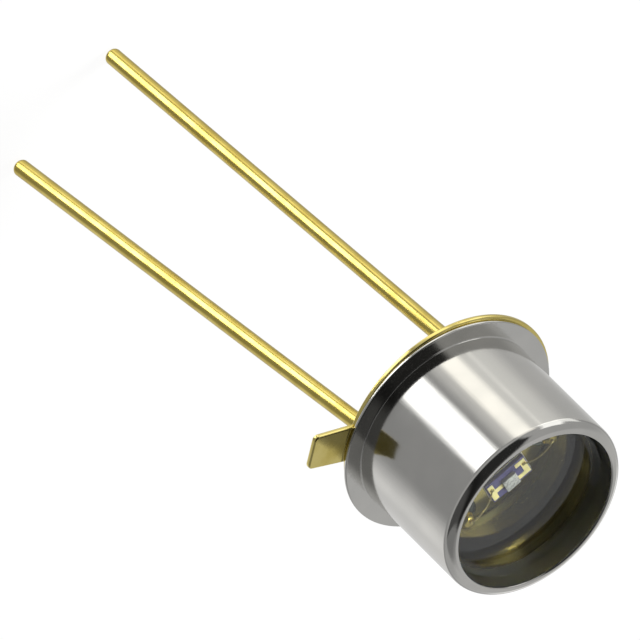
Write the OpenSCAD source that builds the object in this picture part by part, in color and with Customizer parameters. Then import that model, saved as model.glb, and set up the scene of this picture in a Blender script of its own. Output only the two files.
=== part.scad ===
// Ultraviolet emitter in a two-lead metal can with a fused glass window.
// The origin is the centre of the seat under the header. +Z is the optical axis,
// +X points to the lead beside the index tab, and the leads run down from the seat.

/* [Can] */
// Outside diameter of the can wall
can_d = 4.55; // [4.3:0.05:5]
// Thickness of the drawn wall
can_wall = 0.275; // [0.2:0.005:0.3]
// Radius of the outer edge of the rim
rim_r = 0.23; // [0.05:0.01:0.23]
// Radius of the inner edge of the rim
mouth_r = 0.04; // [0.01:0.005:0.045]
// How far the weld flange stands out from the wall
can_flange_w = 0.4; // [0.25:0.01:0.5]
// Thickness of the weld flange
can_flange_t = 0.1; // [0.08:0.01:0.25]
// Radius of the upper edge of the weld flange
can_flange_r = 0.055; // [0.02:0.005:0.06]
// Fillet between the wall and the weld flange
can_root_r = 0.03; // [0.02:0.005:0.12]
// How far the can is welded off the header's axis, towards the lead beside the tab
can_shift = 0.09; // [0:0.01:0.1]

/* [Header] */
// Diameter of the header disc
header_d = 5.32; // [5.1:0.02:5.6]
// Thickness of the header disc and its tab
header_disc_t = 0.13; // [0.1:0.01:0.3]
// Radius of the edges of the header disc
header_edge_r = 0.04; // [0.01:0.005:0.045]
// Height of the platform above the seat
platform_z = 1.98; // [1:0.02:2.5]
// Radius of the platform's edge
platform_r = 0.14; // [0.05:0.01:0.25]
// Clearance between the header body and the can wall where they come closest
body_gap = 0.12; // [0.02:0.01:0.15]

/* [Index tab] */
// Length of the tab past the header disc
tab_len = 1; // [0.7:0.05:1.25]
// Width of the tab at its root
tab_root_w = 0.93; // [0.8:0.01:1.1]
// Width of the tab at its tip
tab_tip_w = 0.86; // [0.7:0.01:1]
// Radius of the corners at the tip
tab_corner_r = 0.12; // [0.05:0.01:0.25]
// Direction of the tab, counted from the lead beside it
tab_angle = -45; // [-60:1:-30]

/* [Leads] */
// Diameter of a lead
lead_d = 0.39; // [0.36:0.01:0.5]
// Distance between the leads where they leave the header
lead_pitch = 2.54; // [2.4:0.02:2.6]
// Length of a lead below the seat
lead_len = 13.3; // [6:0.1:15]
// Radius of the edge at the tip of a lead
lead_tip_r = 0.12; // [0.05:0.01:0.16]
// Radius of the bend just below the seat
lead_bend_r = 3; // [1.5:0.1:6]
// How much thicker the wire is in its bend
bend_swell_d = 0.01; // [0.005:0.001:0.02]
// Lean of the lead beside the tab
tab_lead_lean = 6.25; // [1:0.05:10]
// Direction in which the lead beside the tab leans
tab_lead_way = 11; // [-30:1:30]
// Lean of the other lead
far_lead_lean = 3.5; // [1:0.05:10]
// Direction in which the other lead leans
far_lead_way = -9; // [-30:1:30]
// Height of a post above the platform
post_h = 0.34; // [0.2:0.02:0.6]
// Radius of the edge at the top of a post
post_edge_r = 0.1; // [0.03:0.01:0.12]

/* [Glass seals] */
// Outside diameter of the glass bead around a lead
seal_d = 0.8; // [0.7:0.02:0.9]
// Depth of the glass below the header's faces
seal_recess = 0.05; // [0.02:0.01:0.15]

/* [Window] */
// Clearance between the posts and the window
window_gap = 0.31; // [0.1:0.01:0.4]
// Thickness of the glass away from its edge
window_t = 0.35; // [0.2:0.01:0.8]
// Depth of the glass below the rim
window_recess = 0.54; // [0.3:0.02:0.8]
// Width of the curved edge where the glass wets the wall
meniscus_w = 0.24; // [0.15:0.01:0.35]
// Height of the curved edge where the glass wets the wall
meniscus_h = 0.14; // [0.05:0.01:0.14]

/* [Chip] */
// Length of the tile under the chip, along the leads' line
tile_l = 1.08; // [1:0.02:1.3]
// Width of the tile
tile_w = 0.62; // [0.6:0.02:0.9]
// Thickness of the tile
tile_t = 0.09; // [0.06:0.01:0.2]
// Turn of the tile on the platform
tile_turn = -7.5; // [-15:0.5:15]
// How far the tile sits off the line through the leads, away from the tab
tile_off_l = 0.19; // [0:0.01:0.25]
// Thickness of the solder under the tile
attach_t = 0.01; // [0.01:0.005:0.04]
// Width of the solder that shows around the tile
attach_w = 0.03; // [0.01:0.005:0.06]
// Thickness of the gold pads
pad_t = 0.015; // [0.01:0.005:0.03]
// Distance from a pad to the tile's short edges
pad_margin = 0.02; // [0.02:0.01:0.08]
// Distance from a pad to the tile's long edges
pad_side_margin = 0.06; // [0.04:0.01:0.12]
// Width of the bar of each pad
pad_bar_w = 0.14; // [0.11:0.01:0.18]
// Width of the arms that leave the bars
pad_arm_w = 0.12; // [0.08:0.01:0.14]
// How far an arm reaches under the chip
pad_reach_l = 0.055; // [0.03:0.005:0.1]
// Side of the square chip
die_side = 0.36; // [0.3:0.01:0.45]
// Thickness of the chip
die_t = 0.1; // [0.06:0.01:0.15]
// Shift of the chip across the tile
die_shift = 0.02; // [0:0.01:0.08]

/* [Bond wires] */
// Diameter of a wire
wire_d = 0.035; // [0.025:0.005:0.04]
// Height of the wire's arc over a straight line between its ends
wire_bulge_h = 0.1; // [0.06:0.01:0.15]
// Diameter of the ball on the pad
ball_d = 0.1; // [0.08:0.01:0.12]
// Thickness of the ball on the pad
ball_t = 0.035; // [0.02:0.005:0.05]
// Diameter of the flattened end on the post
stitch_d = 0.09; // [0.07:0.01:0.1]
// Thickness of the flattened end on the post
stitch_t = 0.03; // [0.02:0.005:0.035]
// Distance from the post's axis to the flattened end, towards the chip
stitch_in = 0.04; // [0:0.01:0.05]
// Distance from the middle of the pad to the ball
ball_in = 0.12; // [0:0.01:0.15]

/* [Hidden] */
$fn = 96;

// Cuts run past the faces that they open
over = 0.1;

tab_side = 1;
far_side = -1;

can_r = can_d / 2;
can_in_r = can_r - can_wall;
can_flange_ro = can_r + can_flange_w;
header_r = header_d / 2;
body_r = can_in_r - can_shift - body_gap;

post_top = platform_z + post_h;
window_z = post_top + window_gap;
window_face = window_z + window_t;
can_top = window_face + window_recess;
meniscus_r = (pow(meniscus_w, 2) + pow(meniscus_h, 2)) / (2 * meniscus_h);
// The glass ends in a narrow land at the wall, at this share of the arc's height
land_share = 0.92;
meniscus_land = meniscus_h * land_share;

tile_z = platform_z + attach_t;
pad_z = tile_z + tile_t;
die_z = pad_z + pad_t;
pad_out = tile_l / 2 - pad_margin;
pad_in = pad_out - pad_bar_w;
pad_l = tile_w - 2 * pad_side_margin;
arm_end = die_side / 2 - pad_reach_l;
arm_y = pad_l / 2 - pad_arm_w / 2;
stub_l = (pad_in - arm_end) / 2;

stitch_x = lead_pitch / 2 - stitch_in;

gold = "#d9c27a";
nickel = "#b4b4ac";
clear_glass = [0.82, 0.86, 0.82, 0.35];
bead_glass = "#3c4440";
solder = "#a8a69a";
tile_blue = "#4d4a78";
chip_pale = "#dcdcd2";

// What is cut from a corner at the origin whose material lies below and to the left
module corner_cut(r) {
    difference() {
        translate([-r, -r]) square(r + over);
        translate([-r, -r]) circle(r);
    }
}

// What fills an inner corner at the origin whose walls are the two axes
module corner_fill(r) {
    difference() {
        square(r);
        translate([r, r]) circle(r);
    }
}

// Section of the can: flange, wall and rounded rim
module cap_section() {
    flange_top = header_disc_t + can_flange_t;
    difference() {
        union() {
            translate([can_in_r, header_disc_t]) square([can_wall + can_flange_w, can_flange_t]);
            translate([can_in_r, header_disc_t]) square([can_wall, can_top - header_disc_t]);
            translate([can_r, flange_top]) corner_fill(can_root_r);
        }
        translate([can_r, can_top]) corner_cut(rim_r);
        translate([can_in_r, can_top]) mirror([1, 0]) corner_cut(mouth_r);
        translate([can_flange_ro, flange_top]) corner_cut(can_flange_r);
    }
}

module cap() {
    color(nickel) translate([can_shift, 0, 0]) rotate_extrude() cap_section();
}

// Section of the glass: a flat disc whose face climbs to the wall in an arc
module window_section() {
    difference() {
        translate([0, window_z]) square([can_in_r, window_t + meniscus_land]);
        translate([-over, window_face]) square([can_in_r - meniscus_w + over, meniscus_h + over]);
        translate([can_in_r - meniscus_w, window_face + meniscus_r]) circle(meniscus_r);
    }
}

module window() {
    color(clear_glass) translate([can_shift, 0, 0]) rotate_extrude() window_section();
}

// Section of the header: a thin disc and the body that fills the foot of the can
module header_section() {
    difference() {
        union() {
            square([header_r, header_disc_t]);
            square([body_r, platform_z]);
        }
        translate([header_r, header_disc_t]) corner_cut(header_edge_r);
        translate([header_r, 0]) mirror([0, 1]) corner_cut(header_edge_r);
        translate([body_r, platform_z]) corner_cut(platform_r);
    }
}

// Outline of the index tab, pointing along +X from inside the disc
module tab_outline() {
    tip = header_r + tab_len;
    half_root = tab_root_w / 2;
    half_tip = tab_tip_w / 2;
    shoulder = tip - tab_corner_r;
    polygon([
        [body_r, -half_root], [header_r, -half_root], [shoulder, -half_tip],
        [shoulder, half_tip], [header_r, half_root], [body_r, half_root]
    ]);
    translate([shoulder - tab_corner_r, tab_corner_r - half_tip])
        square([2 * tab_corner_r, tab_tip_w - 2 * tab_corner_r]);
    for (side = [-1, 1])
        translate([shoulder, side * (half_tip - tab_corner_r)]) circle(tab_corner_r);
}

module header() {
    color(gold) difference() {
        union() {
            rotate_extrude() header_section();
            rotate([0, 0, tab_angle]) linear_extrude(header_disc_t) tab_outline();
        }
        for (side = [far_side, tab_side])
            translate([side * lead_pitch / 2, 0, -over])
                cylinder(h = platform_z + 2 * over, d = seal_d);
    }
}

// Section of the straight lead below its bend, with a rounded tip
module shank_section(len, run_in) {
    difference() {
        translate([0, -len]) square([lead_d / 2, len + run_in]);
        translate([lead_d / 2, -len]) mirror([0, 1]) corner_cut(lead_tip_r);
    }
}

// Section of the post that stands in the can, with a rounded top
module post_section(run_in) {
    difference() {
        translate([0, -run_in]) square([lead_d / 2, run_in + post_top]);
        translate([lead_d / 2, post_top]) corner_cut(post_edge_r);
    }
}

// A lead: a post inside the can, a short bend at the seat, then a straight shank.
// Post and shank run into the bend as far as its swell still covers them.
module lead(side, lean, way) {
    bend_x = lead_bend_r * (1 - cos(lean));
    bend_z = lead_bend_r * sin(lean);
    bend_len = lead_bend_r * lean * PI / 180;
    run_in = min(sqrt(lead_bend_r * bend_swell_d), bend_len) / 2;
    shank = lead_len - bend_len;
    color(gold) translate([side * lead_pitch / 2, 0, 0]) {
        rotate_extrude() post_section(run_in);
        rotate([0, 0, way]) {
            translate([lead_bend_r, 0, 0]) rotate([90, 0, 0]) rotate([0, 0, 180])
                rotate_extrude(angle = lean) translate([lead_bend_r, 0]) circle(d = lead_d + bend_swell_d);
            translate([bend_x, 0, -bend_z]) rotate([0, -lean, 0])
                rotate_extrude() shank_section(shank, run_in);
        }
    }
}

module tab_lead() {
    lead(tab_side, tab_lead_lean, tab_lead_way);
}

module far_lead() {
    lead(far_side, far_lead_lean, far_lead_way);
}

// Glass bead between a lead and its hole in the header
module seal(side) {
    color(bead_glass) translate([side * lead_pitch / 2, 0, seal_recess]) difference() {
        cylinder(h = platform_z - 2 * seal_recess, d = seal_d);
        translate([0, 0, -over]) cylinder(h = platform_z + 2 * over, d = lead_d);
    }
}

module tab_seal() {
    seal(tab_side);
}

module far_seal() {
    seal(far_side);
}

// A flat layer of the chip stack, turned with the tile
module layer(z, t) {
    translate([0, tile_off_l, z]) rotate([0, 0, tile_turn]) linear_extrude(t) children();
}

module die_attach() {
    attach_l = tile_l + 2 * attach_w;
    attach_across = tile_w + 2 * attach_w;
    color(solder) layer(platform_z, attach_t) square([attach_l, attach_across], center = true);
}

module submount() {
    color(tile_blue) layer(tile_z, tile_t) square([tile_l, tile_w], center = true);
}

// Bar of a pad along the short edge of the tile
module pad_bar() {
    translate([pad_in, -pad_l / 2]) square([pad_bar_w, pad_l]);
}

// Arm from the bar towards the chip, at a given place across the tile
module pad_arm(y, end) {
    translate([end, y - pad_arm_w / 2]) square([pad_out - end, pad_arm_w]);
}

// T-shaped pad: its stem runs under the chip
module tab_pad() {
    color(gold) layer(pad_z, pad_t) {
        pad_bar();
        pad_arm(die_shift, arm_end);
    }
}

// C-shaped pad: one arm runs under the chip and the other stays short
module far_pad() {
    color(gold) layer(pad_z, pad_t) mirror([1, 0]) {
        pad_bar();
        pad_arm(arm_y, arm_end);
        pad_arm(-arm_y, pad_in - stub_l);
    }
}

module die() {
    color(chip_pale) layer(die_z, die_t) translate([0, die_shift]) square(die_side, center = true);
}

// A place on the tile in the part's own axes
function on_tile(x, y) = [
    x * cos(tile_turn) - y * sin(tile_turn),
    x * sin(tile_turn) + y * cos(tile_turn) + tile_off_l
];

// Bond wire from a ball on a pad to a flattened end on a post
module bond_wire(side) {
    start = on_tile(side * (pad_in + pad_bar_w / 2), -ball_in);
    end = [side * stitch_x, 0];
    span = norm(end - start);
    way = atan2(end[1] - start[1], end[0] - start[0]);
    low = die_z + max(ball_t, wire_d) / 2;
    high = post_top + max(stitch_t, wire_d) / 2;
    chord = norm([span, high - low]);
    climb = atan2(high - low, span);
    half = 2 * atan(2 * wire_bulge_h / chord);
    arc_r = chord / (2 * sin(half));
    drop = arc_r * cos(half);
    color(gold) {
        translate([start[0], start[1], die_z]) cylinder(h = ball_t, d = ball_d);
        translate([end[0], end[1], post_top]) cylinder(h = stitch_t, d = stitch_d);
        translate([start[0], start[1], low]) rotate([0, 0, way]) rotate([90, 0, 0])
            rotate([0, 0, climb]) translate([chord / 2, -drop]) rotate([0, 0, 90 - half])
                rotate_extrude(angle = 2 * half) translate([arc_r, 0]) circle(d = wire_d);
    }
}

module tab_wire() {
    bond_wire(tab_side);
}

module far_wire() {
    bond_wire(far_side);
}

header();
cap();
window();
tab_lead();
far_lead();
tab_seal();
far_seal();
die_attach();
submount();
tab_pad();
far_pad();
die();
tab_wire();
far_wire();
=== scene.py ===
# %% [markdown]
# An ultraviolet emitter in a metal can
#
# The real object is about as tall as a thumbnail is wide: a polished can with a glass window, welded to a
# gold-plated header that carries two long wires. The solids come from the CAD frame, and this lesson dresses
# them. Every piece is made in the same frame as the CAD, so nothing has to be fitted by eye.

import math

import bmesh
import bpy
from mathutils import Matrix, Vector


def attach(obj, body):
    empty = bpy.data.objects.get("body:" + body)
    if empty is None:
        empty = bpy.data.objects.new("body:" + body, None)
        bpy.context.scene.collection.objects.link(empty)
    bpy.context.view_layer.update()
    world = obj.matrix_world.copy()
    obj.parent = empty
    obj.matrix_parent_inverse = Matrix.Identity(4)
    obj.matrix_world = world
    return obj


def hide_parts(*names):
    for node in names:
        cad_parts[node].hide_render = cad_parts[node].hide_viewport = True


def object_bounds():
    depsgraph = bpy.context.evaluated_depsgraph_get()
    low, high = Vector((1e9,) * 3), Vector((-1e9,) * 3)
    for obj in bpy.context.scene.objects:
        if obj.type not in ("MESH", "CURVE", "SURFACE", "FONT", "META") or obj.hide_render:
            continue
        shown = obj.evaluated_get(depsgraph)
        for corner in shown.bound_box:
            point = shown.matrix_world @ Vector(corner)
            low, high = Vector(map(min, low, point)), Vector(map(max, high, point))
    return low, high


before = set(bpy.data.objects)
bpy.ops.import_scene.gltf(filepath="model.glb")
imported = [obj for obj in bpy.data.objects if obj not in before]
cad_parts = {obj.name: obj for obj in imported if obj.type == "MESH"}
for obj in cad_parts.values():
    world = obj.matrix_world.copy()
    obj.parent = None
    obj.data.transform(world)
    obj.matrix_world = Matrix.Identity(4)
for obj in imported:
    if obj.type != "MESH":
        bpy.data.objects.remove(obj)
cad_low, cad_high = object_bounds()
print("CAD nodes:", sorted(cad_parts))

# %% [markdown]
# Sizes are kept in millimetres, as on a drawing of the part, and turned into metres only when a mesh is made.

# %% Sizes of the part in millimetres
MM = 0.001

CAN_SHIFT = 0.09
CAN_R, CAN_IN_R, FLANGE_R = 2.275, 2.0, 2.675
DISC_R, DISC_T, FLANGE_TOP, CAN_TOP = 2.66, 0.13, 0.23, 3.52
BODY_R, PLATFORM_Z, PLATFORM_EDGE = 1.79, 1.98, 0.14
POST_TOP, POST_EDGE = 2.32, 0.1
WINDOW_Z, WINDOW_FACE = 2.63, 2.98
MENISCUS_W, MENISCUS_H = 0.24, 0.14
LEAD_R, LEAD_PITCH, LEAD_LEN, LEAD_TIP_R, BEND_R = 0.195, 2.54, 13.3, 0.12, 3.0
TILE_L, TILE_W, TILE_Z, PAD_Z, DIE_Z, DIE_TOP = 1.08, 0.62, 1.99, 2.08, 2.095, 2.195
TILE_Y = 0.19
TILE_TURN = math.radians(-7.5)
print(f"can {2 * CAN_R} mm across, rim {CAN_TOP} mm above the seat")

# %% [markdown]
# A shader is easier to read as a sum than as a web of nodes. This small class wraps a socket, so that an
# expression on it adds the Math nodes by itself. All other nodes come from one method.

# %% A socket that can be used in an expression
class Wire:
    """An output socket of a node tree."""

    def __init__(self, nodes, socket):
        self.nodes, self.socket = nodes, socket

    def maths(self, operation, *values):
        return self.nodes.add("ShaderNodeMath", {"operation": operation}, dict(enumerate(values)))

    def __add__(self, other):
        return self.maths("ADD", self, other)

    def __mul__(self, other):
        return self.maths("MULTIPLY", self, other)

    def __sub__(self, other):
        return self.maths("SUBTRACT", self, other)

    def __rsub__(self, other):
        return self.maths("SUBTRACT", other, self)

    def __neg__(self):
        return self * -1

    __radd__, __rmul__ = __add__, __mul__

    def rise(self, low, high):
        """0 below low, 1 above high and a smooth step between them."""
        return self.nodes.add("ShaderNodeMapRange", {"interpolation_type": "SMOOTHSTEP"},
                              {"Value": self, "From Min": low, "From Max": high})

    def around(self, middle, soft):
        """A smooth step that is half way up at the middle."""
        return self.rise(middle - soft, middle + soft)

    def between(self, low, high, soft):
        """1 from low to high, falling to 0 over the soft width around each end."""
        return self.around(low, soft) * (1 - self.around(high, soft))


# A Mix node has sockets for numbers, vectors and colours; these are the places of those for colours.
MIX_SHARE, MIX_LOW, MIX_HIGH, MIX_COLOUR = 0, 6, 7, 2


class Nodes:
    """A node tree that is filled by add()."""

    def __init__(self, tree):
        self.tree = tree

    def add(self, kind, settings=None, sockets=None, out=0):
        node = self.tree.nodes.new(kind)
        for name, value in (settings or {}).items():
            setattr(node, name, value)
        for key, value in (sockets or {}).items():
            if isinstance(value, Wire):
                self.tree.links.new(value.socket, node.inputs[key])
            else:
                node.inputs[key].default_value = value
        return Wire(self, node.outputs[out])

    def blend(self, share, low, high):
        """A colour between two others."""
        return self.add("ShaderNodeMix", {"data_type": "RGBA"},
                        {MIX_SHARE: share, MIX_LOW: low, MIX_HIGH: high}, out=MIX_COLOUR)

    def noise(self, place, scale, detail=3.0):
        return self.add("ShaderNodeTexNoise", None, {"Vector": place, "Scale": scale, "Detail": detail})

    def stretched(self, place, scale):
        """Coordinates that are squeezed or stretched along the axes."""
        return self.add("ShaderNodeMapping", None, {"Vector": place, "Scale": scale})

    def parts(self, vector):
        """The X, Y and Z of a vector."""
        split = self.add("ShaderNodeSeparateXYZ", None, {"Vector": vector}).socket.node
        return [Wire(self, output) for output in split.outputs]


print("helpers:", Wire.__name__, Nodes.__name__)

# %% [markdown]
# Every finish starts the same way: an empty tree with a Principled shader, and coordinates in millimetres that
# are fixed to the part. Object coordinates are in metres, so they are scaled up once, here.

# %% A blank finish with coordinates in millimetres
def blank_finish(name, constants):
    """A material, its tree, its Principled node and the place on the part in millimetres."""
    material = bpy.data.materials.new(name)
    material.use_nodes = True
    nodes = Nodes(material.node_tree)
    shader = material.node_tree.nodes["Principled BSDF"]
    for socket, value in constants.items():
        shader.inputs[socket].default_value = value
    place = nodes.add("ShaderNodeTexCoord", None, None, out="Object")
    place = nodes.stretched(place, (1 / MM, 1 / MM, 1 / MM))
    return material, nodes, shader, place


def feed(nodes, shader, **wires):
    """Links what changes over the surface to the shader's sockets."""
    for name, wire in wires.items():
        nodes.tree.links.new(wire.socket, shader.inputs[name.replace("_", " ")])


def bumped(nodes, height, strength, distance_mm):
    return nodes.add("ShaderNodeBump", None,
                     {"Strength": strength, "Distance": distance_mm * MM, "Height": height})


print("finish helpers:", blank_finish.__name__, feed.__name__, bumped.__name__)

# %% [markdown]
# Gold plating is never one flat yellow. The bath leaves it paler in some places and redder in others, its gloss
# drifts, and small pits and specks sit in it. On the wires the drawing die has left fine lines along the length,
# so one noise is stretched along Z there. A photograph of real plating would give the same, but it would belong to
# one shape only; noise in the part's own coordinates fits any piece and has no seams.

# %% Gold plating
def gold_finish(name, pale, deep, gloss, lines_mm, line_scale, speck_edge, metal=1.0):
    material, nodes, shader, place = blank_finish(name, {"Metallic": metal})
    cloud = nodes.noise(place, 1.7, 4.0)
    lines = nodes.noise(nodes.stretched(place, line_scale), 1.0, 2.0)
    specks = nodes.noise(place, 21.0, 1.0).rise(speck_edge, speck_edge + 0.05)
    colour = nodes.blend(cloud.rise(0.3, 0.7), pale, deep)
    colour = nodes.blend(specks * 0.55, colour, (0.2, 0.12, 0.04, 1))
    rough = gloss + 0.1 * cloud.rise(0.35, 0.75) + 0.06 * lines + 0.25 * specks
    height = lines - specks
    feed(nodes, shader, Base_Color=colour, Roughness=rough, Normal=bumped(nodes, height, 0.6, lines_mm))
    return material


header_gold = gold_finish("header_gold", (0.86, 0.73, 0.27, 1), (0.76, 0.62, 0.18, 1),
                          gloss=0.06, lines_mm=0.0003, line_scale=(9, 9, 9), speck_edge=0.74)
lead_gold = gold_finish("lead_gold", (0.72, 0.585, 0.16, 1), (0.6, 0.465, 0.105, 1),
                        gloss=0.14, lines_mm=0.0014, line_scale=(16, 16, 0.7), speck_edge=0.72)
film_gold = gold_finish("film_gold", (1.0, 0.9, 0.44, 1), (0.95, 0.82, 0.34, 1),
                        gloss=0.3, lines_mm=0.0008, line_scale=(40, 40, 40), speck_edge=0.8, metal=0.15)
bond_gold = gold_finish("bond_gold", (0.9, 0.76, 0.34, 1), (0.82, 0.66, 0.24, 1),
                        gloss=0.16, lines_mm=0.0004, line_scale=(60, 60, 60), speck_edge=0.8, metal=0.9)
print("gold:", header_gold.name, lead_gold.name, film_gold.name, bond_gold.name)

# %% [markdown]
# The can is deep drawn and nickel plated. It is close to a mirror, but drawing leaves faint lines along the wall
# and handling leaves cloudy patches, which soften the edges of whatever it reflects. The inside is duller than
# the outside, and its colour is painted darker, as painted shade in the hollow of the can.

# %% Nickel plating
def nickel_finish(name):
    material, nodes, shader, place = blank_finish(name, {"Metallic": 1.0})
    cloud = nodes.noise(place, 0.9, 3.0)
    drawn = nodes.noise(nodes.stretched(place, (14, 14, 0.5)), 1.0, 3.0)
    grain = nodes.noise(place, 38.0, 2.0)
    x, y, z = nodes.parts(place)
    off = x - CAN_SHIFT
    radius = place.maths("SQRT", off * off + y * y)
    inside = (1 - radius.rise(CAN_IN_R + 0.01, CAN_IN_R + 0.03)) * (1 - z.rise(CAN_TOP - 0.06, CAN_TOP - 0.03))
    above_glass = z.rise(WINDOW_Z, WINDOW_FACE)
    bright = nodes.blend(cloud.rise(0.3, 0.7), (0.7, 0.69, 0.66, 1), (0.64, 0.635, 0.61, 1))
    # painted shade: the inside of the can gets a darker colour than the outside, tinted differently above and below
    # the glass
    inner_painted_shade = nodes.blend(above_glass, (0.34, 0.325, 0.275, 1), (0.31, 0.325, 0.325, 1))
    dull = inside * (0.12 + 0.22 * above_glass)
    rough = 0.07 + 0.06 * cloud.rise(0.35, 0.75) + 0.05 * grain + dull
    feed(nodes, shader, Base_Color=nodes.blend(inside, bright, inner_painted_shade), Roughness=rough,
         Normal=bumped(nodes, drawn + 0.5 * grain, 0.5, 0.0012))
    return material


can_nickel = nickel_finish("can_nickel")
print("nickel:", can_nickel.name)

# %% [markdown]
# The window is real refracting glass, so the chip looks lifted and the meniscus draws its own bright rings.
# Shadow rays pass it unbent, which lets the studio light the chip without noise. Thin smears change the gloss.

# %% Window glass and the dark sealing glass
def through_shadow(material, nodes, shader, tint):
    """Lets light through a transparent finish without the cost of bending every shadow ray."""
    clear = nodes.add("ShaderNodeBsdfTransparent", None, {"Color": tint})
    shadow = nodes.add("ShaderNodeLightPath", None, None, out="Is Shadow Ray")
    surface = Wire(nodes, shader.outputs[0])
    mixed = nodes.add("ShaderNodeMixShader", None, {0: shadow, 1: surface, 2: clear})
    out = next(n for n in nodes.tree.nodes if n.type == "OUTPUT_MATERIAL")
    nodes.tree.links.new(mixed.socket, out.inputs["Surface"])
    return material


def window_finish(name):
    material, nodes, shader, place = blank_finish(name, {"IOR": 1.5, "Transmission Weight": 1.0})
    smear = nodes.noise(place, 1.1, 3.0)
    colour = nodes.blend(smear.rise(0.3, 0.7), (0.97, 0.985, 0.965, 1), (0.93, 0.96, 0.93, 1))
    feed(nodes, shader, Base_Color=colour, Roughness=0.012 * smear.rise(0.5, 0.8),
         Normal=bumped(nodes, nodes.noise(place, 0.8, 1.0), 0.25, 0.01))
    return through_shadow(material, nodes, shader, (0.93, 0.95, 0.93, 1))


def bead_finish(name):
    material, nodes, shader, place = blank_finish(name, {"IOR": 1.5, "Coat Weight": 0.6, "Coat Roughness": 0.05})
    swirl = nodes.noise(place, 5.0, 4.0)
    colour = nodes.blend(swirl.rise(0.3, 0.7), (0.035, 0.045, 0.04, 1), (0.09, 0.1, 0.085, 1))
    feed(nodes, shader, Base_Color=colour, Roughness=0.12 + 0.2 * swirl,
         Normal=bumped(nodes, swirl, 0.4, 0.01))
    return material


window_glass = window_finish("window_glass")
bead_glass = bead_finish("bead_glass")
print("glass:", window_glass.name, bead_glass.name)

# %% [markdown]
# The chip stack has three more finishes: the blue-violet ceramic tile with its lapped grain, the solder that
# wets its foot, and the pale crystal of the chip, which is frosted on its sawn sides.

# %% Tile, solder and chip
def tile_finish(name):
    material, nodes, shader, place = blank_finish(name, {"Coat Weight": 0.25, "Coat Roughness": 0.15})
    grain = nodes.noise(place, 30.0, 4.0)
    patch = nodes.noise(place, 4.0, 2.0)
    colour = nodes.blend(patch.rise(0.3, 0.7), (0.05, 0.045, 0.14, 1), (0.08, 0.07, 0.2, 1))
    feed(nodes, shader, Base_Color=colour, Roughness=0.3 + 0.25 * grain,
         Normal=bumped(nodes, grain, 0.4, 0.004))
    return material


def solder_finish(name):
    material, nodes, shader, place = blank_finish(name, {"Metallic": 1.0})
    frost = nodes.noise(place, 24.0, 4.0)
    colour = nodes.blend(frost.rise(0.3, 0.7), (0.5, 0.47, 0.4, 1), (0.7, 0.66, 0.55, 1))
    feed(nodes, shader, Base_Color=colour, Roughness=0.25 + 0.3 * frost,
         Normal=bumped(nodes, frost, 0.5, 0.004))
    return material


def chip_finish(name):
    material, nodes, shader, place = blank_finish(name, {"IOR": 1.75, "Coat Weight": 0.5, "Coat Roughness": 0.08})
    frost = nodes.noise(place, 15.0, 4.0)
    height = nodes.parts(place)[2]
    top = height.rise(DIE_TOP - 0.03, DIE_TOP - 0.005)
    side = nodes.blend(frost.rise(0.3, 0.7), (0.26, 0.26, 0.27, 1), (0.36, 0.36, 0.36, 1))
    face = nodes.blend(frost.rise(0.35, 0.65), (0.34, 0.34, 0.33, 1), (0.6, 0.6, 0.58, 1))
    feed(nodes, shader, Base_Color=nodes.blend(top, side, face), Roughness=0.45 - 0.25 * top + 0.1 * frost,
         Normal=bumped(nodes, frost, 0.3, 0.003))
    return material


tile_ceramic = tile_finish("tile_ceramic")
solder_grey = solder_finish("solder_grey")
chip_crystal = chip_finish("chip_crystal")
print("chip stack:", tile_ceramic.name, solder_grey.name, chip_crystal.name)

# %% [markdown]
# Turned pieces and flat plates both start from an outline with rounded corners. One function rounds any closed
# outline, and puts a point just beside each arc. Those extra points hold the flat faces flat, so that a mirror
# finish doesn't show a false gradient.

# %% Round the corners of an outline
def rounded(corners, steps=10, hold=0.02):
    """Points of a closed outline from corners (x, y, radius)."""
    points = []
    for i, (x, y, r) in enumerate(corners):
        here = Vector((x, y))
        back = (Vector(corners[i - 1][:2]) - here).normalized()
        ahead = (Vector(corners[(i + 1) % len(corners)][:2]) - here).normalized()
        if r <= 0:
            points.append(here)
            continue
        half = back.angle(ahead) / 2
        reach = r / math.tan(half)
        middle = here + (back + ahead).normalized() * (r / math.sin(half))
        first = here + back * reach - middle
        turn = math.copysign(math.pi - 2 * half, back.cross(ahead) * -1)
        points.append(here + back * (reach + hold))
        for k in range(steps + 1):
            spoke = first.copy()
            spoke.rotate(Matrix.Rotation(turn * k / steps, 2))
            points.append(middle + spoke)
        points.append(here + ahead * (reach + hold))
    return points


print("points on a rounded square:", len(rounded([(0, 0, 0.1), (1, 0, 0.1), (1, 1, 0.1), (0, 1, 0.1)])))

# %% [markdown]
# The can, the window, the header's body and the glass beads are turned shapes: a section carried round an axis.
# A Screw modifier could do that, but a node tree keeps its inputs in one place and gives every piece its finish.
# The tree sweeps the section along a circle. The section is drawn as a loop of edges, with the circle's own radius
# taken off, because a swept profile counts its X from the path.

# %% The lathe, as a node tree
PATH_R, LATHE_STEPS = 1.0, 192
SAME_POINT = 1e-8


def group_input(tree, name, kind, default):
    socket = tree.interface.new_socket(name, in_out="INPUT", socket_type=kind)
    if default is not None:
        socket.default_value = default
    return socket.identifier


def geometry_tree(name):
    tree = bpy.data.node_groups.new(name, "GeometryNodeTree")
    tree.interface.new_socket("Geometry", in_out="INPUT", socket_type="NodeSocketGeometry")
    tree.interface.new_socket("Geometry", in_out="OUTPUT", socket_type="NodeSocketGeometry")
    return tree, Nodes(tree)


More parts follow.
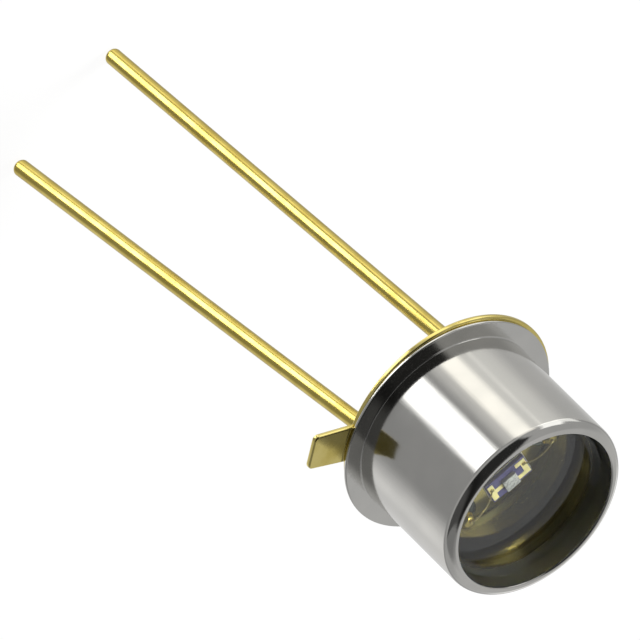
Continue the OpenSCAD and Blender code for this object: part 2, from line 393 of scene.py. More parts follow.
def close_tree(nodes, source, geometry):
    """Ends a tree: shaded, with its own material and no instances left."""
    shaded = nodes.add("GeometryNodeSetShadeSmooth", None, {"Geometry": geometry, "Shade Smooth": True})
    real = nodes.add("GeometryNodeRealizeInstances", None, {"Geometry": shaded})
    dressed = nodes.add("GeometryNodeSetMaterial", None, {"Geometry": real})
    nodes.tree.links.new(source.outputs["Material"], dressed.socket.node.inputs["Material"])
    end = nodes.tree.nodes.new("NodeGroupOutput")
    nodes.tree.links.new(dressed.socket, end.inputs[0])


def lathe_tree():
    tree, nodes = geometry_tree("lathe")
    ids = {"Steps": group_input(tree, "Steps", "NodeSocketInt", LATHE_STEPS),
           "Material": group_input(tree, "Material", "NodeSocketMaterial", None)}
    source = tree.nodes.new("NodeGroupInput")
    section = nodes.add("GeometryNodeMeshToCurve", None, {"Mesh": Wire(nodes, source.outputs["Geometry"])})
    circle = nodes.add("GeometryNodeCurvePrimitiveCircle", None,
                       {"Resolution": Wire(nodes, source.outputs["Steps"]), "Radius": PATH_R * MM})
    swept = nodes.add("GeometryNodeCurveToMesh", None, {"Curve": circle, "Profile Curve": section})
    joined = nodes.add("GeometryNodeMergeByDistance", None, {"Geometry": swept, "Distance": SAME_POINT})
    close_tree(nodes, source, joined)
    return tree, ids


lathe, lathe_ids = lathe_tree()
print("lathe inputs:", list(lathe_ids))

# %% [markdown]
# What a tree makes is turned into a plain mesh at once, so that no live modifier is left on a piece. A sweep can
# come out mirrored or inside out, so the mesh is compared with its section and its faces are turned outwards. A
# finished piece then stands in for its CAD node and rides on the node's body.

# %% Turn a section into a piece
SHARP_DEG, ZERO_EDGE, SAME_HEIGHT = 40.0, 1e-9, 1e-7


def bake(holder, tree, values, ids):
    """Runs a tree on an object and returns the result as a plain mesh."""
    modifier = holder.modifiers.new("make", "NODES")
    modifier.node_group = tree
    for name, value in values.items():
        modifier[ids[name]] = value
    bpy.context.scene.collection.objects.link(holder)
    result = bpy.data.meshes.new_from_object(holder.evaluated_get(bpy.context.evaluated_depsgraph_get()))
    old = holder.data
    bpy.data.objects.remove(holder)
    bpy.data.meshes.remove(old)
    return result


def tidy(mesh):
    """Merges doubles, turns the faces outwards and keeps real corners sharp."""
    work = bmesh.new()
    work.from_mesh(mesh)
    bmesh.ops.remove_doubles(work, verts=work.verts, dist=SAME_POINT)
    bmesh.ops.dissolve_degenerate(work, edges=work.edges, dist=ZERO_EDGE)
    bmesh.ops.recalc_face_normals(work, faces=work.faces)
    work.to_mesh(mesh)
    work.free()
    mesh.shade_smooth()
    mesh.set_sharp_from_angle(angle=math.radians(SHARP_DEG))
    return mesh


def turned(name, section, material, at=(0, 0), steps=LATHE_STEPS):
    """A mesh from a closed section of (radius, height) points in millimetres."""
    loop = [((r - PATH_R) * MM, z * MM, 0) for r, z in section]
    mesh = bpy.data.meshes.new(name)
    mesh.from_pydata(loop, [(i, (i + 1) % len(loop)) for i in range(len(loop))], [])
    made = bake(bpy.data.objects.new(name, mesh), lathe, {"Steps": steps, "Material": material}, lathe_ids)
    height = [v.co.z for v in made.vertices]
    if abs(max(height) - max(z for _, z in section) * MM) > SAME_HEIGHT:
        made.transform(Matrix.Scale(-1, 4, (0, 0, 1)))
    made.transform(Matrix.Translation((at[0] * MM, at[1] * MM, 0)))
    return tidy(made)


def placed(name, meshes, material, body, slot, *nodes):
    """One object from the meshes, riding on a CAD body in place of the CAD nodes."""
    work = bmesh.new()
    for mesh in meshes:
        work.from_mesh(mesh)
        bpy.data.meshes.remove(mesh)
    whole = bpy.data.meshes.new(name)
    work.to_mesh(whole)
    work.free()
    whole.materials.clear()
    whole.materials.append(material)
    whole.polygons.foreach_set("material_index", [0] * len(whole.polygons))
    piece = bpy.data.objects.new(name, whole)
    bpy.context.scene.collection.objects.link(piece)
    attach(piece, body)
    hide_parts(*nodes)
    print(f"{name}: {len(whole.polygons)} faces")


print("piece helpers:", bake.__name__, tidy.__name__, turned.__name__, placed.__name__)

# %% [markdown]
# The can is drawn from sheet and welded on by its flange. It is one section: the flange, a small fillet, the
# straight wall, the wide rounding of the rim, and the tighter one at the mouth. The flange's lower edge is rounded
# more than its upper one, so that a dark seam shows between the nickel and the gold disc.

# %% The can
FLANGE_FOOT_R, FLANGE_EDGE_R, ROOT_R, RIM_R, MOUTH_R = 0.06, 0.03, 0.03, 0.23, 0.04
CAN_STEPS = 256

can_section = rounded([
    (CAN_IN_R, DISC_T, 0), (FLANGE_R, DISC_T, FLANGE_FOOT_R), (FLANGE_R, FLANGE_TOP, FLANGE_EDGE_R),
    (CAN_R, FLANGE_TOP, ROOT_R), (CAN_R, CAN_TOP, RIM_R), (CAN_IN_R, CAN_TOP, MOUTH_R)], steps=16, hold=0.002)
placed("can", [turned("can", can_section, can_nickel, (CAN_SHIFT, 0), CAN_STEPS)],
       can_nickel, "root", "nickel_can", "cap")

# %% [markdown]
# The glass is fused to the wall, so its edge climbs in a concave arc. It runs a few microns into the metal:
# a ray inside the glass then meets the wall directly, as it does in a fused joint.

# %% The window
FUSED, FACE_HOLD, CLIMB_STEPS = 0.004, 0.02, 24

arc_r = (MENISCUS_W ** 2 + MENISCUS_H ** 2) / (2 * MENISCUS_H)
land = CAN_IN_R - MENISCUS_W
swing = math.asin(MENISCUS_W / arc_r)
climb = [(land + arc_r * math.sin(a), WINDOW_FACE + arc_r * (1 - math.cos(a)))
         for a in (swing * k / CLIMB_STEPS for k in range(CLIMB_STEPS + 1))]
window_section = [(0, WINDOW_Z), (CAN_IN_R + FUSED, WINDOW_Z), (CAN_IN_R + FUSED, climb[-1][1]),
                  *reversed(climb), (land - FACE_HOLD, WINDOW_FACE), (0, WINDOW_FACE)]
placed("window_disc", [turned("window", window_section, window_glass, (CAN_SHIFT, 0), CAN_STEPS)],
       window_glass, "root", "window_glass", "window")

# %% [markdown]
# The header is a stamped disc with its index tab, and a round body that stands in the can. The disc is a plate:
# its outline is carried up in thin steps that follow the rounding of its edges. A Bevel modifier would round the
# edges too, but here the rounding follows the outline's own points and is the same on every plate.

# %% Plates with rounded edges
def quarter(steps):
    """Angles from 0 to a right angle."""
    return [math.pi / 2 * k / steps for k in range(steps + 1)]


def inset(outline, depth):
    """The outline moved inwards; the points run anticlockwise."""
    moved = []
    for i, here in enumerate(outline):
        a = (here - outline[i - 1]).normalized()
        b = (outline[(i + 1) % len(outline)] - here).normalized()
        normal = Vector((-a.y - b.y, a.x + b.x))
        moved.append(here + normal * (2 * depth / max(normal.length_squared, 0.5)))
    return moved


def plate(name, outline, low, high, foot_r, edge_r, steps=6):
    """A flat piece in millimetres, its lower and upper edges rounded."""
    levels = [(0, low)]
    if foot_r:
        levels = [(foot_r * (1 - math.sin(a)), low + foot_r * (1 - math.cos(a))) for a in quarter(steps)]
    levels += [(edge_r * (1 - math.cos(a)), high - edge_r * (1 - math.sin(a))) for a in quarter(steps)]
    work = bmesh.new()
    rings = [[work.verts.new((p.x * MM, p.y * MM, z * MM)) for p in inset(outline, d)] for d, z in levels]
    work.faces.new(list(reversed(rings[0])))
    work.faces.new(rings[-1])
    for lower, upper in zip(rings, rings[1:]):
        for i in range(len(lower)):
            work.faces.new((lower[i - 1], lower[i], upper[i], upper[i - 1]))
    mesh = bpy.data.meshes.new(name)
    work.to_mesh(mesh)
    work.free()
    return tidy(mesh)


def turned_outline(outline, angle, at=(0, 0)):
    spin = Matrix.Rotation(angle, 2)
    return [spin @ p + Vector(at) for p in outline]


print("plate helpers:", quarter.__name__, inset.__name__, plate.__name__, turned_outline.__name__)

# %% [markdown]
# The tab tells the two leads apart. It leaves the disc halfway between the front and the lead that it marks, and
# it narrows a little. Disc and tab are one stamping, so their outline is one loop: the tab's sides and tip, then
# the long way round the disc.

# %% Outline of the disc with its tab
TAB_R, TAB_ROOT, TAB_TIP, TAB_CORNER = 3.66, 0.465, 0.43, 0.12
TAB_TURN = math.radians(-45)
RIM_STEPS = 220

root_x = math.sqrt(DISC_R ** 2 - TAB_ROOT ** 2)
root_turn = math.asin(TAB_ROOT / DISC_R)
tab_side = rounded([(0, -TAB_ROOT, 0), (root_x, -TAB_ROOT, 0), (TAB_R, -TAB_TIP, TAB_CORNER),
                    (TAB_R, TAB_TIP, TAB_CORNER), (root_x, TAB_ROOT, 0), (0, TAB_ROOT, 0)])[1:-1]
rim = [Vector((DISC_R * math.cos(a), DISC_R * math.sin(a)))
       for a in (root_turn + (2 * math.pi - 2 * root_turn) * k / RIM_STEPS for k in range(1, RIM_STEPS))]
disc_outline = turned_outline(tab_side + rim, TAB_TURN)
print("points round the disc:", len(disc_outline))

# %% [markdown]
# Two holes go through disc and body for the leads' glass beads. A Boolean cuts them, and its result is kept as a
# plain mesh.

# %% The header
SEAL_R, DISC_EDGE, BODY_FOOT = 0.4, 0.04, 0.06
DRILL_LEN, DRILL_MID, DRILL_SIDES = 8.0, 1.0, 96


def drilled(mesh, centres, radius):
    """The mesh with round holes along Z."""
    cutter = bpy.data.meshes.new("cutter")
    work = bmesh.new()
    for x in centres:
        bmesh.ops.create_cone(work, cap_ends=True, segments=DRILL_SIDES, radius1=radius * MM, radius2=radius * MM,
                              depth=DRILL_LEN * MM, matrix=Matrix.Translation((x * MM, 0, DRILL_MID * MM)))
    work.to_mesh(cutter)
    work.free()
    blank = bpy.data.objects.new("blank", mesh)
    tool = bpy.data.objects.new("tool", cutter)
    for thing in (blank, tool):
        bpy.context.scene.collection.objects.link(thing)
    cut = blank.modifiers.new("holes", "BOOLEAN")
    cut.operation, cut.solver, cut.object = "DIFFERENCE", "EXACT", tool
    result = bpy.data.meshes.new_from_object(blank.evaluated_get(bpy.context.evaluated_depsgraph_get()))
    for thing in (blank, tool):
        bpy.data.objects.remove(thing)
    bpy.data.meshes.remove(cutter)
    bpy.data.meshes.remove(mesh)
    return tidy(result)


lead_places = (LEAD_PITCH / 2, -LEAD_PITCH / 2)
disc = plate("disc", disc_outline, 0, DISC_T, DISC_EDGE, DISC_EDGE)
body_section = rounded([(0, BODY_FOOT, 0), (BODY_R, BODY_FOOT, 0), (BODY_R, PLATFORM_Z, PLATFORM_EDGE),
                        (0, PLATFORM_Z, 0)], steps=12, hold=0.01)
body = turned("body", body_section, header_gold)
placed("header_gold", [drilled(disc, lead_places, SEAL_R), drilled(body, lead_places, SEAL_R)],
       header_gold, "root", "gold_plate", "header")

# %% [markdown]
# A lead is a drawn wire, so it is swept along a path, with a thickness at every point of the path. The path bends
# a little under the seat. Both ends were tumbled round, so the thickness falls there along a quarter circle.

# %% The drawn wire, as a node tree
LEAD_SIDES = 48


def wire_tree():
    tree, nodes = geometry_tree("drawn_wire")
    ids = {"Sides": group_input(tree, "Sides", "NodeSocketInt", LEAD_SIDES),
           "Material": group_input(tree, "Material", "NodeSocketMaterial", None)}
    source = tree.nodes.new("NodeGroupInput")
    path = nodes.add("GeometryNodeMeshToCurve", None, {"Mesh": Wire(nodes, source.outputs["Geometry"])})
    ring = nodes.add("GeometryNodeCurvePrimitiveCircle", None,
                     {"Resolution": Wire(nodes, source.outputs["Sides"]), "Radius": 1.0})
    thick = nodes.add("GeometryNodeInputNamedAttribute", {"data_type": "FLOAT"}, {"Name": "thickness"})
    swept = nodes.add("GeometryNodeCurveToMesh", None,
                      {"Curve": path, "Profile Curve": ring, "Scale": thick, "Fill Caps": True})
    close_tree(nodes, source, swept)
    return tree, ids


drawn_wire, wire_ids = wire_tree()
print("wire inputs:", list(wire_ids))

# %% [markdown]
# The path of a lead is straight through the header, turns on its bend's radius just below the seat and runs
# straight to the tip. Points lie close together where the wire curves or its end rounds off, and far apart where it
# is straight.

# %% Sweep a wire along points
END_STEPS, BEND_STEPS, SHANK_STEPS = 12, 16, 24
END_HOLD, POST_STATIONS, SHANK_START = 0.01, (1.6, 0.8, 0.2, 0.02), (0.02, 0.2)


def swept(name, points, radii, material, sides=LEAD_SIDES):
    """A mesh along points in millimetres, with a radius at each."""
    mesh = bpy.data.meshes.new(name)
    mesh.from_pydata([Vector(p) * MM for p in points], [(i, i + 1) for i in range(len(points) - 1)], [])
    mesh.attributes.new("thickness", "FLOAT", "POINT").data.foreach_set("value", [r * MM for r in radii])
    made = bake(bpy.data.objects.new(name, mesh), drawn_wire, {"Sides": sides, "Material": material}, wire_ids)
    return tidy(made)


def lead_path(side, lean, way):
    """Points and radii from the top of the post down to the tip."""
    lean, way = math.radians(lean), math.radians(way)
    foot = Vector((side * LEAD_PITCH / 2, 0, 0))
    out = Vector((math.cos(way), math.sin(way), 0))
    bow = quarter(END_STEPS)
    points = [foot + Vector((0, 0, POST_TOP - POST_EDGE * (1 - math.cos(a)))) for a in bow]
    radii = [LEAD_R - POST_EDGE * (1 - math.sin(a)) for a in bow]
    points += [foot + Vector((0, 0, z)) for z in (POST_TOP - POST_EDGE - END_HOLD, *POST_STATIONS)]
    for k in range(BEND_STEPS + 1):
        a = lean * k / BEND_STEPS
        points.append(foot + out * BEND_R * (1 - math.cos(a)) + Vector((0, 0, -BEND_R * math.sin(a))))
    start, along = points[-1], out * math.sin(lean) + Vector((0, 0, -math.cos(lean)))
    shank = LEAD_LEN - BEND_R * lean
    stations = [*SHANK_START, *(shank * k / SHANK_STEPS for k in range(1, SHANK_STEPS - 1)),
                shank - LEAD_TIP_R - END_HOLD]
    points += [start + along * s for s in stations]
    radii += [LEAD_R] * (len(points) - len(radii))
    points += [start + along * (shank - LEAD_TIP_R * (1 - math.sin(a))) for a in bow]
    radii += [LEAD_R - LEAD_TIP_R * (1 - math.cos(a)) for a in bow]
    return points, radii


print("points along an upright lead:", len(lead_path(1, 0, 0)[0]))

# %% [markdown]
# The leads of a loose part are never quite straight. Each leans its own way here, by a few degrees: the first angle
# is the lean, and the second is its direction, counted from +X.

# %% The leads
def lead(name, side, lean, way):
    placed(name + "_wire", [swept(name, *lead_path(side, lean, way), lead_gold)],
           lead_gold, "root", "lead_gold", name)


lead("tab_lead", 1, 6.25, 11)
lead("far_lead", -1, 3.5, -9)

# %% [markdown]
# Each lead passes the header in a bead of dark glass. Molten glass wets both metals, so the bead's faces dip
# between the wire and the hole.

# %% The glass beads
BEAD_RECESS, BEAD_DIP, BEAD_BITE = 0.05, 0.05, 0.002
BEAD_STEPS, BEAD_SIDES = 16, 96


def bead(name, side):
    low, high = BEAD_RECESS, PLATFORM_Z - BEAD_RECESS
    inner, outer = LEAD_R - BEAD_BITE, SEAL_R + BEAD_BITE
    across = [(inner + (outer - inner) * k / BEAD_STEPS, BEAD_DIP * (1 - (2 * k / BEAD_STEPS - 1) ** 2))
              for k in range(BEAD_STEPS + 1)]
    section = [(r, low + d) for r, d in across] + [(r, high - d) for r, d in reversed(across)]
    mesh = turned(name, section, bead_glass, (side * LEAD_PITCH / 2, 0), BEAD_SIDES)
    placed(name + "_glass", [mesh], bead_glass, "root", "bead_glass", name)


bead("tab_seal", 1)
bead("far_seal", -1)

# %% [markdown]
# The chip stack is a pile of thin plates, all turned by the same few degrees: solder, tile, gold pads, chip. The
# solder has flowed out a little past the tile, and its corners are round. Plates are quick to make from outlines,
# and their small edges catch the light as sawn and lapped edges do.

# %% Solder and tile
SOLDER_SPREAD, SOLDER_CORNER, SOLDER_EDGE = 0.03, 0.05, 0.009
TILE_CORNER, TILE_EDGE, TILE_HOLD = 0.012, 0.008, 0.003


def on_tile(corners, steps=6):
    """A rounded outline, moved and turned with the tile."""
    return turned_outline(rounded(corners, steps, TILE_HOLD), TILE_TURN, (0, TILE_Y))


def box_corners(half_l, half_w, r, y=0.0):
    return [(-half_l, y - half_w, r), (half_l, y - half_w, r), (half_l, y + half_w, r), (-half_l, y + half_w, r)]


solder_outline = on_tile(box_corners(TILE_L / 2 + SOLDER_SPREAD, TILE_W / 2 + SOLDER_SPREAD, SOLDER_CORNER))
placed("solder_foot", [plate("solder", solder_outline, PLATFORM_Z, TILE_Z, 0, SOLDER_EDGE)],
       solder_grey, "root", "solder", "die_attach")
tile_outline = on_tile(box_corners(TILE_L / 2, TILE_W / 2, TILE_CORNER))
placed("tile", [plate("tile", tile_outline, TILE_Z, PAD_Z, 0, TILE_EDGE)], tile_ceramic, "root", "tile", "submount")

# %% [markdown]
# The pads are a T and a C of plated gold. Each is one outline, so its inner corners are rounded as well.

# %% Gold pads
PAD_OUT, PAD_IN, PAD_HALF = 0.52, 0.38, 0.25
ARM_END, ARM_W, DIE_SHIFT, DIE_HALF = 0.125, 0.12, 0.02, 0.18
STUB_END = PAD_IN - (PAD_IN - ARM_END) / 2
SOFT, THIN_EDGE, EDGE_STEPS = 0.012, 0.006, 3

tee = [(PAD_OUT, PAD_HALF, SOFT), (PAD_IN, PAD_HALF, SOFT), (PAD_IN, DIE_SHIFT + ARM_W / 2, SOFT),
       (ARM_END, DIE_SHIFT + ARM_W / 2, SOFT), (ARM_END, DIE_SHIFT - ARM_W / 2, SOFT),
       (PAD_IN, DIE_SHIFT - ARM_W / 2, SOFT), (PAD_IN, -PAD_HALF, SOFT), (PAD_OUT, -PAD_HALF, SOFT)]
cee = [(-PAD_OUT, -PAD_HALF, SOFT), (-STUB_END, -PAD_HALF, SOFT), (-STUB_END, ARM_W - PAD_HALF, SOFT),
       (-PAD_IN, ARM_W - PAD_HALF, SOFT), (-PAD_IN, PAD_HALF - ARM_W, SOFT), (-ARM_END, PAD_HALF - ARM_W, SOFT),
       (-ARM_END, PAD_HALF, SOFT), (-PAD_OUT, PAD_HALF, SOFT)]
placed("tab_pad_film", [plate("tab_pad", on_tile(tee, 4), PAD_Z, DIE_Z, 0, THIN_EDGE, EDGE_STEPS)],
       film_gold, "root", "pad_gold", "tab_pad")
placed("far_pad_film", [plate("far_pad", on_tile(cee, 4), PAD_Z, DIE_Z, 0, THIN_EDGE, EDGE_STEPS)],
       film_gold, "root", "pad_gold", "far_pad")

# %% [markdown]
# The chip is a sawn square of crystal. It lies on the arm of the T and the long arm of the C, and so bridges the
# two pads. It is one more plate, a little off the middle of the tile.

# %% The chip
die_outline = on_tile(box_corners(DIE_HALF, DIE_HALF, THIN_EDGE, DIE_SHIFT))
placed("chip", [plate("die", die_outline, DIE_Z, DIE_TOP, 0, THIN_EDGE, EDGE_STEPS)],
       chip_crystal, "root", "chip", "die")

# %% [markdown]
# A bond wire leaves a squashed ball on the pad, arcs over and ends in a flattened stitch on the post. It is
# swept with the same tree as the leads.

# %% The bond wires
WIRE_R, WIRE_BULGE, WIRE_SIDES, WIRE_HALF_STEPS = 0.0175, 0.1, 16, 20
BALL_R, BALL_T, BALL_IN, BALL_FOOT_R, BALL_EDGE_R = 0.05, 0.035, 0.12, 0.012, 0.016
STITCH_R, STITCH_T, STITCH_IN, STITCH_FOOT_R, STITCH_EDGE_R = 0.045, 0.03, 0.04, 0.005, 0.012
BUTTON_SIDES = 40


def button(name, at, low, high, radius, foot_r, edge_r):
    """A small round lump of gold."""
    section = rounded([(0, low, 0), (radius, low, foot_r), (radius, high, edge_r), (0, high, 0)],
                      steps=6, hold=0.001)
    return turned(name, section, bond_gold, at, BUTTON_SIDES)


def bond_wire(name, side):
    spin = Matrix.Rotation(TILE_TURN, 2)
    on_pad = spin @ Vector((side * (PAD_IN + PAD_OUT) / 2, -BALL_IN))
    start = on_pad.to_3d() + Vector((0, TILE_Y, DIE_Z + WIRE_R))
    end = Vector((side * (LEAD_PITCH / 2 - STITCH_IN), 0, POST_TOP + WIRE_R))
    chord = end - start
    up = (Vector((0, 0, 1)) - chord.normalized() * chord.normalized().z).normalized()
    half = 2 * math.atan(2 * WIRE_BULGE / chord.length)
    radius = chord.length / (2 * math.sin(half))
    points = [start + chord / 2 + chord.normalized() * radius * math.sin(a)
              + up * radius * (math.cos(a) - math.cos(half))
              for a in (half * (k / WIRE_HALF_STEPS - 1) for k in range(2 * WIRE_HALF_STEPS + 1))]
    radii = [WIRE_R] * len(points)
    ball = button(name + "_ball", start.xy, DIE_Z, DIE_Z + BALL_T, BALL_R, BALL_FOOT_R, BALL_EDGE_R)
    foot = button(name + "_stitch", end.xy, POST_TOP, POST_TOP + STITCH_T, STITCH_R, STITCH_FOOT_R, STITCH_EDGE_R)
    placed(name + "_gold", [swept(name, points, radii, bond_gold, WIRE_SIDES), ball, foot],
           bond_gold, "root", "pad_gold", name)


bond_wire("tab_wire", 1)
bond_wire("far_wire", -1)

# %% [markdown]
# The camera stands about half a metre away with a very long lens, as a macro photograph of so small a thing
# does, so edges stay almost parallel. It is rolled: the optical axis of the part runs down to the right.

# %% The camera
PX_PER_MM, TILT, ROLL = 46.5, math.radians(53.13), math.radians(44.75)
LENS, SENSOR, IMAGE_PX = 1300.0, 36.0, 640

axis_up = Vector((0, math.cos(TILT), math.sin(TILT)))
right = axis_up * math.cos(ROLL) + Vector((-1, 0, 0)) * math.sin(ROLL)
down = axis_up * math.sin(ROLL) - Vector((-1, 0, 0)) * math.cos(ROLL)
to_camera = right.cross(-down)
aim = Vector((0.428, -2.013, -2.684)) * MM
distance = LENS / SENSOR * IMAGE_PX / PX_PER_MM * MM

camera = bpy.data.objects.new("camera", bpy.data.cameras.new("camera"))
camera.data.lens, camera.data.sensor_width = LENS, SENSOR
camera.data.clip_start, camera.data.clip_end = 0.01, 20.0
turn = Matrix((right, -down, to_camera)).transposed().to_4x4()
camera.matrix_world = Matrix.Translation(aim + to_camera * distance) @ turn
bpy.context.scene.collection.objects.link(camera)
bpy.context.scene.camera = camera
print(f"camera {distance:.3f} m away")

# %% [markdown]
# The background is a plain white world of strength 1, the same for the camera, for mirror rays and for glass, so
# the metal shows it too.

# %% The white background
world = bpy.data.worlds.new("studio")
world.use_nodes = True
bpy.context.scene.world = world
white = world.node_tree.nodes["Background"]
white.inputs["Color"].default_value, white.inputs["Strength"].default_value = (1, 1, 1, 1), 1.0
print("background strength", white.inputs["Strength"].default_value)

# %% [markdown]
# A polished can in an all-white room would be white all over. A photographer puts a scrim round such a part: nets
# and cloth that let through only a share of the white, with strip lamps hung on them. Here it is one large ball
# that the camera doesn't see, and its share is worked out by direction. Azimuth counts from the camera's side of
# the part, and elevation from its horizon. Pitch counts from the camera's side over the top to the back.
#
# Below the horizon are most of the thin places and strips that the wall mirrors. The net round the horizon and above
# it is thinner at the back, with a gap right behind the part. A black cloth with a grey wing on its left hangs from
# the lens over the top, which draws the dark crescent on the rim.

# %% The scrim's strips, nets and cloth
PANELS = [
    # azimuth from, to, softness, elevation from, to in degrees, colour, strength
    (-210, -90, 16, -99, -26, (1, 0.99, 0.98), 0.4),
    (-124, -106, 8, -99, -26, (1, 0.99, 0.97), 0.12),
    (-14.5, 17.5, 4.5, -99, -32, (1, 1, 1), 1.7),
    (27, 210, 7, -99, -24, (1, 0.99, 0.95), 0.2),
    (36, 100, 16, -99, -24, (1, 0.98, 0.92), 0.3),
    (41, 62.5, 4, -99, -9, (1, 0.96, 0.86), 0.65),
    (74, 78, 1.5, -99, -26, (1, 0.98, 0.92), 0.25),
    (152, 210, 10, -99, -24, (1, 1, 1), 0.1),
    (67, 91, 3, -30, 16, (1, 1, 0.98), 1.0),
    (91, 111, 3, -33, -5, (1, 1, 0.98), 0.7),
]
PANEL_SOFT = 3

# Shares of the white that the nets let through
GROUND, WING, SIDE, REAR, HORIZON = 0.32, 0.23, 0.42, 0.53, 1.0
# Where they change, in degrees, or as X or Y of the direction
GROUND_EDGE, REAR_EDGE = (-24, -6), (124, 146)
GAP_HEIGHT, GAP_WIDTH = (-30, 10), (0.93, 0.98)
WING_REACH, WING_SIDE, NET_SOFT = (5, 136), (0.1, 0.3), 8

CLOTH = {
    "from": 5, "to": 121, "hem": 4, "fray": 6,        # pitch of its two ends and their softness
    "slant": 95,                                      # how its far end is cut back to the right
    "right": -0.66, "left": 1.75, "edge": 0.05,       # X of its sides and their softness
    "lean": 0.0118,                                   # how its left side leans with the pitch
    "dark": 0.94, "thin": 0.28, "thinning": (0.35, 0.6),  # the share it swallows, less on its left
}
print("papers and strips:", len(PANELS))

# %% [markdown]
# Each of these is a smooth step in azimuth, elevation or pitch, and they are multiplied or added like masks. A
# picture of a studio wrapped round the part would do as well, but this way each strip can be moved by one number.

# %% What the scrim lets through
def bare_material(name):
    """A material with an empty tree."""
    material = bpy.data.materials.new(name)
    material.use_nodes = True
    material.node_tree.nodes.clear()
    return material, Nodes(material.node_tree)


net, weave = bare_material("scrim_net")
place = weave.add("ShaderNodeTexCoord", None, None, out="Object")
way = weave.add("ShaderNodeVectorMath", {"operation": "NORMALIZE"}, {0: place})
x, y, z = weave.parts(way)
azimuth = way.maths("ARCTAN2", -x, -y) * math.degrees(1)
elevation = way.maths("ARCSINE", z) * math.degrees(1)
pitch = way.maths("ARCTAN2", z, -y) * math.degrees(1)

behind = azimuth.rise(*REAR_EDGE) + (-azimuth).rise(*REAR_EDGE)
gap = elevation.between(*GAP_HEIGHT, NET_SOFT) * y.rise(*GAP_WIDTH)
dome = SIDE + (REAR - SIDE) * behind + (HORIZON - REAR) * gap
level = GROUND + (dome - GROUND) * elevation.rise(*GROUND_EDGE)
wing = x.rise(*WING_SIDE) * pitch.between(*WING_REACH, NET_SOFT)
level = level * (1 - (1 - WING / SIDE) * wing)

far_end = CLOTH["to"] + CLOTH["slant"] * x.maths("MINIMUM", x, 0)
leaning = x + CLOTH["lean"] * pitch
cloth = pitch.around(CLOTH["from"], CLOTH["hem"]) * (1 - (pitch - far_end).around(0, CLOTH["fray"]))
cloth = cloth * x.around(CLOTH["right"], CLOTH["edge"]) * (1 - leaning.around(CLOTH["left"], CLOTH["edge"]))
level = level * (1 - (CLOTH["dark"] - CLOTH["thin"] * x.rise(*CLOTH["thinning"])) * cloth)

shade = weave.add("ShaderNodeCombineColor", None, {0: level, 1: level, 2: level})
for start, end, soft, low, high, colour, strength in PANELS:
    glow = azimuth.between(start, end, soft) * elevation.between(low, high, PANEL_SOFT) * strength
    shade = weave.add("ShaderNodeMix", {"data_type": "RGBA", "blend_type": "ADD", "clamp_factor": False},
                      {MIX_SHARE: glow, MIX_LOW: shade, MIX_HIGH: (*colour, 1)}, out=MIX_COLOUR)
print("nodes in the scrim:", len(net.node_tree.nodes))

# %% [markdown]
# A net can't be brighter than the white behind it, so a share up to 1 is let through, and only the rest, in the
# strips, is light of their own. The share is a factor between black and clear. Blue is the lowest of a strip's
# three colours, so it gives the share, and the warm tint is in the rest.

# %% The scrim
SCRIM_R = 2.0


def show(nodes, surface):
    """Ends a tree in its output node."""
    end = nodes.tree.nodes.new("ShaderNodeOutputMaterial")
    nodes.tree.links.new(surface.socket, end.inputs["Surface"])


def in_scene(name, mesh, material):
    """An object with one finish, linked to the scene."""
    mesh.materials.append(material)
    thing = bpy.data.objects.new(name, mesh)
    bpy.context.scene.collection.objects.link(thing)
    return thing


blue = weave.add("ShaderNodeSeparateColor", None, {"Color": shade}, out="Blue")
share = blue.maths("MINIMUM", blue, 1.0)
grey = weave.add("ShaderNodeCombineColor", None, {0: share, 1: share, 2: share})
spare = weave.add("ShaderNodeVectorMath", {"operation": "SUBTRACT"}, {0: shade, 1: grey})
black = weave.add("ShaderNodeEmission", None, {"Color": (0, 0, 0, 1), "Strength": 0.0})
clear = weave.add("ShaderNodeBsdfTransparent", None, {"Color": (1, 1, 1, 1)})
netting = weave.add("ShaderNodeMixShader", None, {0: share, 1: black, 2: clear})
strips = weave.add("ShaderNodeEmission", None, {"Color": spare, "Strength": 1.0})
show(weave, weave.add("ShaderNodeAddShader", None, {0: netting, 1: strips}))

ball = bmesh.new()
bmesh.ops.create_icosphere(ball, subdivisions=4, radius=SCRIM_R)
scrim_mesh = bpy.data.meshes.new("scrim")
ball.to_mesh(scrim_mesh)
ball.free()
scrim = in_scene("scrim", scrim_mesh, net)
scrim.visible_camera = False
print("scrim faces:", len(scrim_mesh.polygons))

# %% [markdown]
# The wires show one broad pale stripe, much wider than the strip lamp's stripe on the can: they hang lower and
# mirror a glowing sheet of white paper that the can can't see. The sheet is bent round the part, below the floor,
# which mirror rays pass. Its upper edge is set so low that rays from the can's wall pass over it.

# %% The paper under the wires
SHEET_R, SHEET_TOP, SHEET_LOW, SHEET_GLOW = 20.0, -17.0, -30.0, 4.4
SHEET_FROM, SHEET_TO, SHEET_STEPS = -34, 20, 24

row = SHEET_STEPS + 1
turns = [math.radians(SHEET_FROM + (SHEET_TO - SHEET_FROM) * k / SHEET_STEPS) for k in range(row)]
corners = [(-SHEET_R * math.sin(a) * MM, -SHEET_R * math.cos(a) * MM, h * MM)
           for h in (SHEET_LOW, SHEET_TOP) for a in turns]
sheet_mesh = bpy.data.meshes.new("sheet")
sheet_mesh.from_pydata(corners, [], [(k, k + 1, k + row + 1, k + row) for k in range(SHEET_STEPS)])
glowing, sheet_nodes = bare_material("sheet_paper")
show(sheet_nodes, sheet_nodes.add("ShaderNodeEmission", None, {"Color": (1, 1, 1, 1), "Strength": SHEET_GLOW}))
lead_sheet = in_scene("lead_sheet", sheet_mesh, glowing)
lead_sheet.visible_camera = False
print("sheet faces:", len(sheet_mesh.polygons))

# %% [markdown]
# The chip lies deep in the can, where little of the white reaches it. A small lamp high above the part shines in
# through the window. It is kept out of mirror reflections, so that it lights the matt chip and pads only.

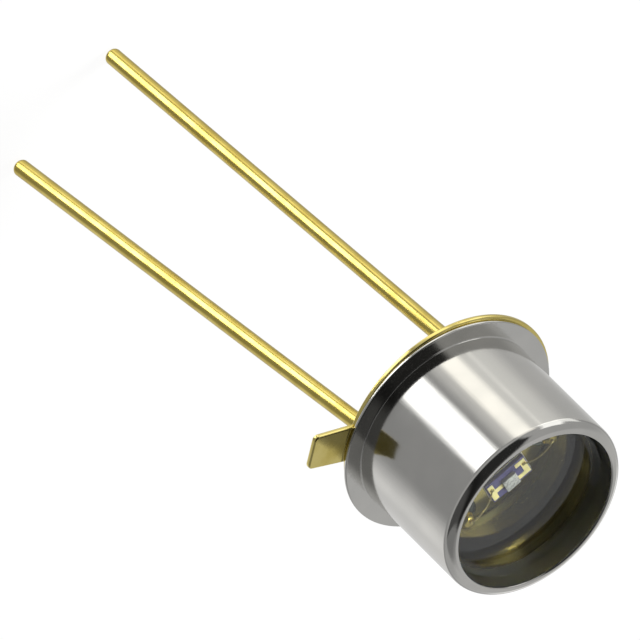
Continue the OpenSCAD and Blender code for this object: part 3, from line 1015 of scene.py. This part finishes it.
# %% The chip lamp
LAMP_SIZE, LAMP_WATTS, LAMP_AWAY, LAMP_AIM = 0.02, 0.055, 0.12, 2.1

lamp = bpy.data.objects.new("chip_lamp", bpy.data.lights.new("chip_lamp", "AREA"))
lamp.data.shape, lamp.data.size, lamp.data.energy = "DISK", LAMP_SIZE, LAMP_WATTS
lamp_from = Vector((-0.35, 0.1, 0.93)).normalized()
lamp.location = Vector((0, 0, LAMP_AIM * MM)) + lamp_from * LAMP_AWAY
lamp.rotation_euler = lamp_from.to_track_quat("Z", "Y").to_euler()
lamp.visible_glossy = False
bpy.context.scene.collection.objects.link(lamp)
print("chip lamp", lamp.data.energy, "W")

# %% [markdown]
# The floor is white paper under the tips of the leads. It glows just enough to meet the white of the background,
# and the rest of its brightness comes from the light it catches, which is where the soft shadow shows. Mirror rays
# pass it and meet the paper under the wires, or the white behind the scrim, so that the wires are striped down to
# their tips.

# %% The floor
FLOOR_HALF, FLOOR_GLOW, FLOOR_GREY = 6.0, 0.95, 0.12

floor_z = cad_low.z
floor_corners = [(i * FLOOR_HALF, j * FLOOR_HALF, floor_z) for i, j in ((-1, -1), (1, -1), (1, 1), (-1, 1))]
floor_mesh = bpy.data.meshes.new("floor")
floor_mesh.from_pydata(floor_corners, [], [(0, 1, 2, 3)])
paper, paper_nodes = bare_material("floor_paper")
glow = paper_nodes.add("ShaderNodeEmission", None, {"Color": (1, 1, 1, 1), "Strength": FLOOR_GLOW})
matt = paper_nodes.add("ShaderNodeBsdfDiffuse", None, {"Color": (FLOOR_GREY, FLOOR_GREY, FLOOR_GREY, 1)})
show(paper_nodes, paper_nodes.add("ShaderNodeAddShader", None, {0: glow, 1: matt}))
floor = in_scene("floor", floor_mesh, paper)
floor.visible_glossy = False
floor.visible_diffuse = False
floor.visible_shadow = False
print("floor at", round(floor_z / MM, 3), "mm")

# %% [markdown]
# Colours are shown as they are, without a film look. The dressed part may not be larger than its CAD model.

# %% Finish
bpy.context.scene.view_settings.view_transform = "Standard"
